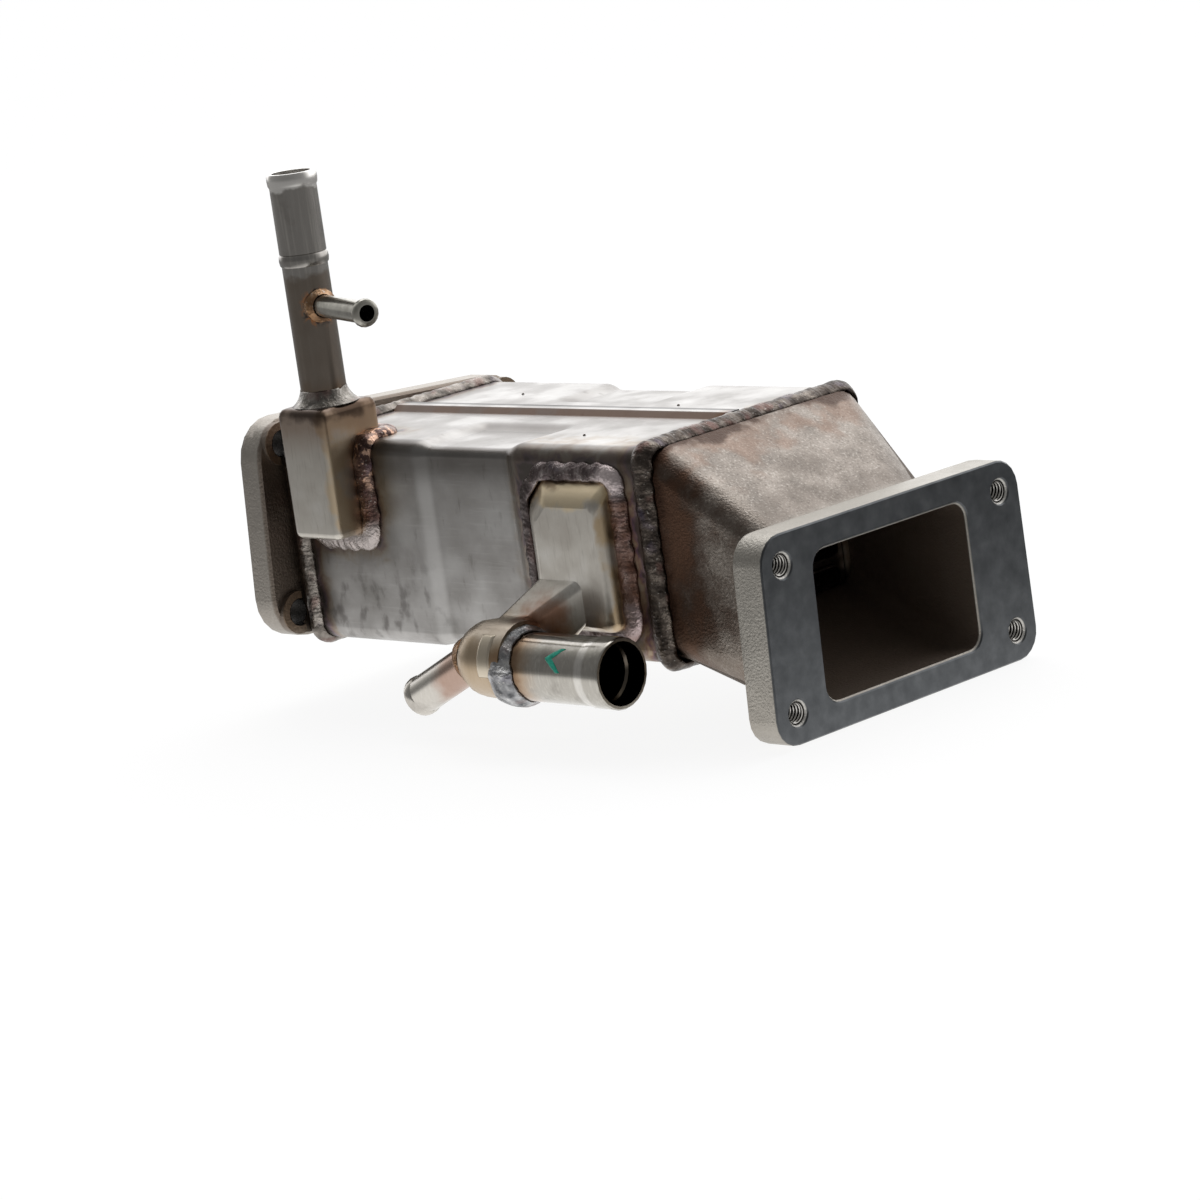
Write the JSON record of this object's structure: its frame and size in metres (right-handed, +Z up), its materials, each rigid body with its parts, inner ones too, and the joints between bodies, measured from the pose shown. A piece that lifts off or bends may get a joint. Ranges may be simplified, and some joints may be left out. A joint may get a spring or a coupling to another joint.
{
  "type": "egr cooler",
  "caption": "Exhaust gas cooler: finned flat tubes in a lapped sheet jacket, cast gas flanges at both ends, welded coolant pipes and a vent nipple.",
  "frame": {"origin": "middle of the base of the bounding box", "axes": "+X along the gas path from the inlet flange to the outlet flange, +Y away from the coolant pipes, +Z up along the upright coolant inlet pipe"},
  "size_m": [0.23, 0.1484, 0.1765],
  "materials": {
    "bypass_braze": "weld metal with heat scale",
    "bypass_pipe": "drawn stainless tube",
    "coolant_inlet_box": "brushed stainless sheet",
    "coolant_inlet_pipe": "drawn stainless tube",
    "coolant_outlet_box": "brushed stainless sheet",
    "coolant_outlet_pipe": "drawn stainless tube",
    "fin_1": "brazed stainless",
    "fin_2": "brazed stainless",
    "fin_3": "brazed stainless",
    "fin_4": "brazed stainless",
    "fin_5": "brazed stainless",
    "fin_6": "brazed stainless",
    "fin_7": "brazed stainless",
    "front_shell": "brushed stainless sheet",
    "gas_tube_1": "brazed stainless",
    "gas_tube_2": "brazed stainless",
    "gas_tube_3": "brazed stainless",
    "gas_tube_4": "brazed stainless",
    "gas_tube_5": "brazed stainless",
    "gas_tube_6": "brazed stainless",
    "gas_tube_7": "brazed stainless",
    "inlet_box_weld": "weld metal with heat scale",
    "inlet_casting": "as-cast steel, grainy, machined face",
    "inlet_collar_weld": "weld metal with heat scale",
    "inlet_header_plate": "brazed stainless",
    "inlet_pipe_weld": "weld metal with heat scale",
    "nipple_braze": "weld metal with heat scale",
    "outlet_box_weld": "weld metal with heat scale",
    "outlet_casting": "as-cast steel, grainy, machined face",
    "outlet_collar_weld": "weld metal with heat scale",
    "outlet_header_plate": "brazed stainless",
    "outlet_pipe_weld": "weld metal with heat scale",
    "rear_shell": "brushed stainless sheet",
    "vent_nipple": "drawn stainless tube"
  },
  "bodies": {
    "root": {"bypass_braze": "bypass_braze", "bypass_pipe": "bypass_pipe", "coolant_inlet_box": "coolant_inlet_box", "coolant_inlet_pipe": "coolant_inlet_pipe", "coolant_outlet_box": "coolant_outlet_box", "coolant_outlet_pipe": "coolant_outlet_pipe", "fin_1": "fin_1", "fin_2": "fin_2", "fin_3": "fin_3", "fin_4": "fin_4", "fin_5": "fin_5", "fin_6": "fin_6", "fin_7": "fin_7", "front_shell": "front_shell", "gas_tube_1": "gas_tube_1", "gas_tube_2": "gas_tube_2", "gas_tube_3": "gas_tube_3", "gas_tube_4": "gas_tube_4", "gas_tube_5": "gas_tube_5", "gas_tube_6": "gas_tube_6", "gas_tube_7": "gas_tube_7", "inlet_box_weld": "inlet_box_weld", "inlet_casting": "inlet_casting", "inlet_collar_weld": "inlet_collar_weld", "inlet_header_plate": "inlet_header_plate", "inlet_pipe_weld": "inlet_pipe_weld", "nipple_braze": "nipple_braze", "outlet_box_weld": "outlet_box_weld", "outlet_casting": "outlet_casting", "outlet_collar_weld": "outlet_collar_weld", "outlet_header_plate": "outlet_header_plate", "outlet_pipe_weld": "outlet_pipe_weld", "rear_shell": "rear_shell", "vent_nipple": "vent_nipple"}
  },
  "joints": []
}
